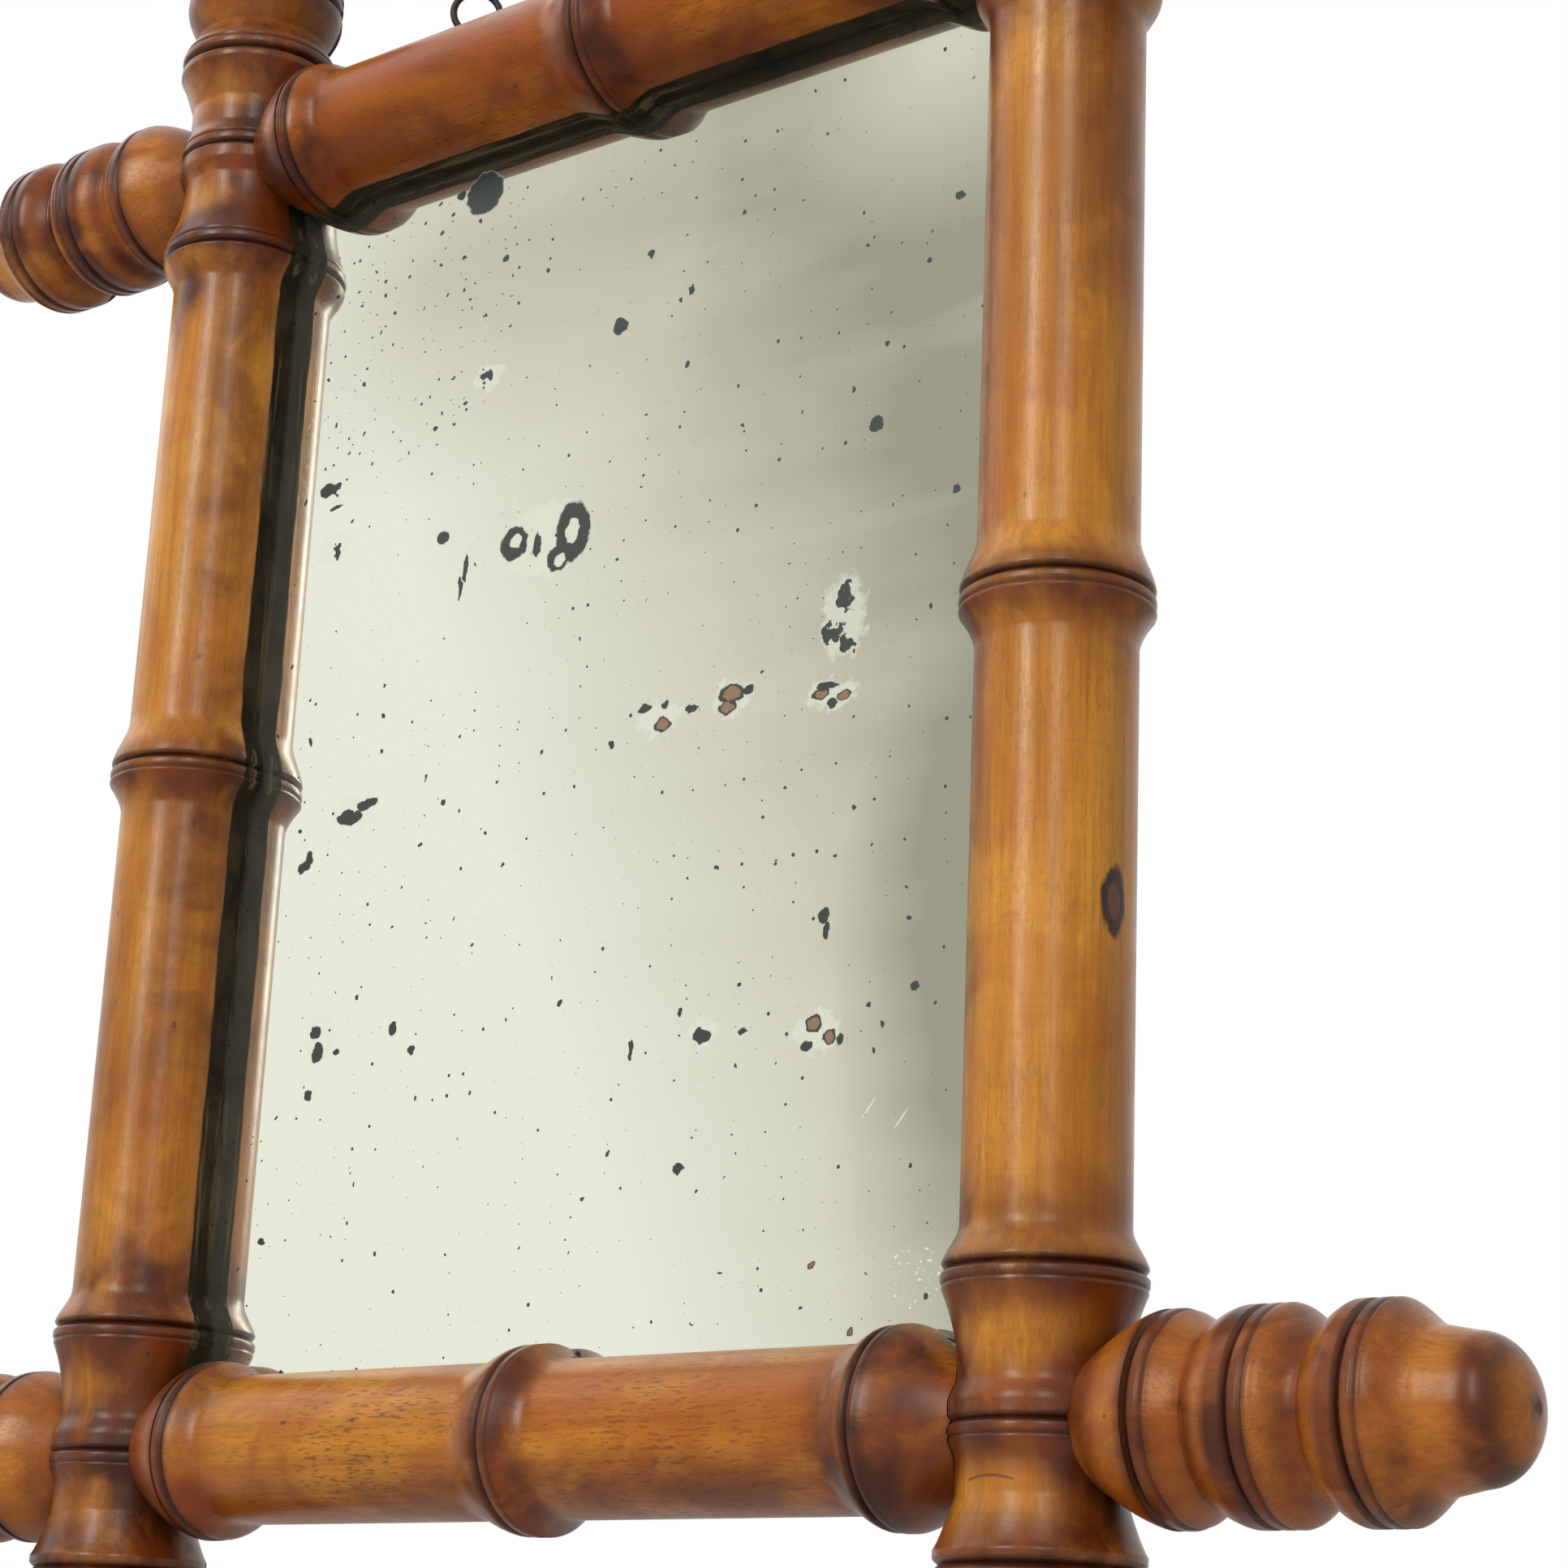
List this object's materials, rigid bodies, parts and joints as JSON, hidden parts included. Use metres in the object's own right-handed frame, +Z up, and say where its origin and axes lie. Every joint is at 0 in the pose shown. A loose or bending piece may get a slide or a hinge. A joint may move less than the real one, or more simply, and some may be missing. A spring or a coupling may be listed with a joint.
{
  "type": "wall mirror",
  "caption": "Upright wall mirror in a frame of turned wooden sticks like bamboo, crossed at the corners, with rings to hang it by.",
  "frame": {"origin": "middle of the frame, on the plane that holds the axes of the four sticks", "axes": "+X to the right as seen from the front, +Y from the mirror's face to the wall, +Z up"},
  "size_m": [0.4372, 0.0388, 0.5042],
  "materials": {
    "varnished_wood": "satin varnish, scorched lines",
    "dowel_wood": "plain",
    "pine_board": "rough, aged",
    "mirror_plate": "old silvering with dark spots",
    "iron": "dark, lightly rusted"
  },
  "bodies": {
    "frame": {"left_stile": "varnished_wood", "right_stile": "varnished_wood", "top_rail": "varnished_wood", "bottom_rail": "varnished_wood", "top_left_end": "varnished_wood", "top_right_end": "varnished_wood", "bottom_left_end": "varnished_wood", "bottom_right_end": "varnished_wood", "top_left_dowel": "dowel_wood", "top_right_dowel": "dowel_wood", "bottom_left_dowel": "dowel_wood", "bottom_right_dowel": "dowel_wood", "mirror_glass": "mirror_plate", "backing_board": "pine_board", "board_brads": "iron", "left_screw_eye": "iron", "right_screw_eye": "iron"},
    "left_ring": {"left_hanging_ring": "iron"},
    "right_ring": {"right_hanging_ring": "iron"}
  },
  "joints": [
    {"name": "left_ring_swing", "type": "hinge", "parent": "frame", "child": "left_ring", "pos_m": [-0.053, 0.006, 0.1792], "axis": [-0.7071, -0.7071, 0], "range_deg": [-95, 120]},
    {"name": "right_ring_swing", "type": "hinge", "parent": "frame", "child": "right_ring", "pos_m": [0.053, 0.006, 0.1792], "axis": [-0.7071, 0.7071, 0], "range_deg": [-95, 120]}
  ]
}
